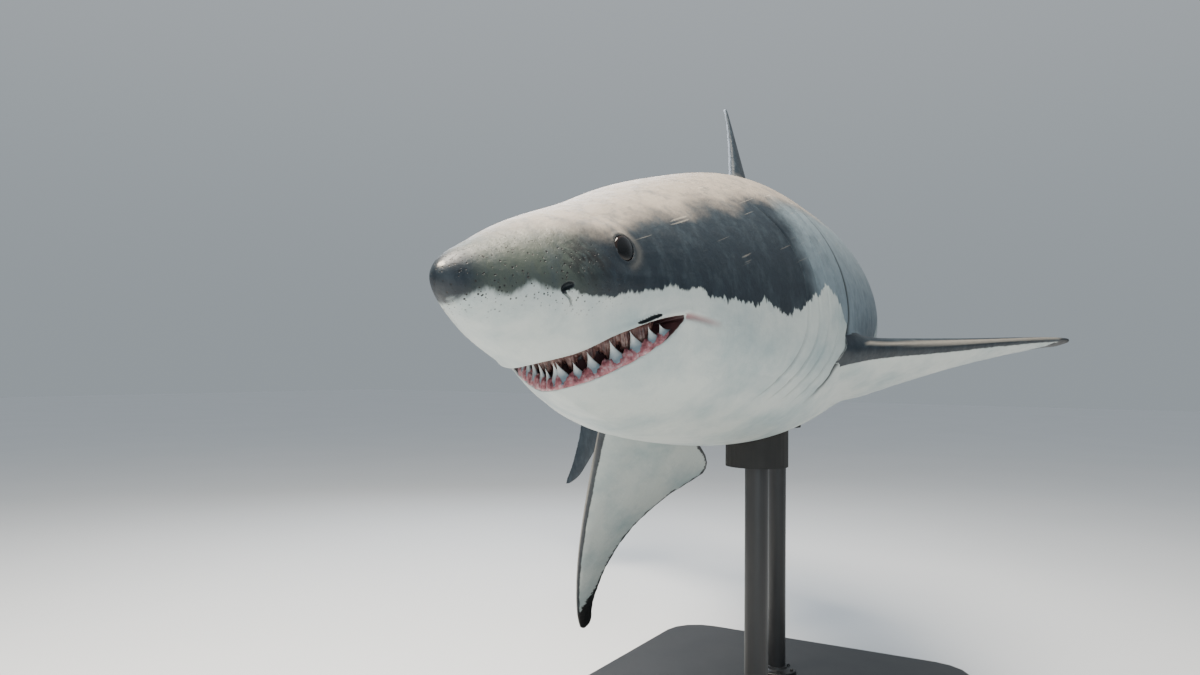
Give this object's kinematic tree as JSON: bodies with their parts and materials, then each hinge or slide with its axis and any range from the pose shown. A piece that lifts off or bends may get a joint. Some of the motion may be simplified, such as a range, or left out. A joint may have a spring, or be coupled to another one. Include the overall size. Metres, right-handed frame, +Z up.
{
  "type": "great white shark model on a display stand",
  "caption": "Life-size still model of a great white shark, banking into a turn with its mouth slightly open, held above a flat base by upright rods.",
  "frame": {"origin": "on the floor under the middle of the stand's base plate", "axes": "+Z up; -X the way the head points; +Y towards the shark's right, the side that the tail bends to"},
  "size_m": [3.1219, 2.9158, 2.0803],
  "materials": {
    "shark_skin": "smooth shark skin, slate grey above and white below, satin and damp",
    "belly_skin": "smooth white shark skin, satin",
    "gum": "moist pink gum",
    "tooth": "white enamel with serrated edges",
    "eye": "glossy black, as a glass eye",
    "stand": "satin black powder coat",
    "stand_pad": "matt black rubber"
  },
  "bodies": {
    "root": {"head": "shark_skin", "lower_jaw": "belly_skin", "gill_region": "shark_skin", "trunk_front": "shark_skin", "trunk_middle": "shark_skin", "trunk_rear": "shark_skin", "tail_stock": "shark_skin", "dorsal_fin": "shark_skin", "second_dorsal_fin": "shark_skin", "anal_fin": "shark_skin", "pectoral_fin_left": "shark_skin", "pectoral_fin_right": "shark_skin", "pelvic_fin_left": "shark_skin", "pelvic_fin_right": "shark_skin", "caudal_fin_upper": "shark_skin", "caudal_fin_lower": "shark_skin", "eye_left": "eye", "eye_right": "eye", "gum_upper": "gum", "gum_lower": "gum", "stand_base": "stand", "stand_rod_front": "stand", "stand_rod_rear": "stand", "stand_saddle_front": "stand_pad", "stand_saddle_rear": "stand_pad"}
  },
  "joints": []
}
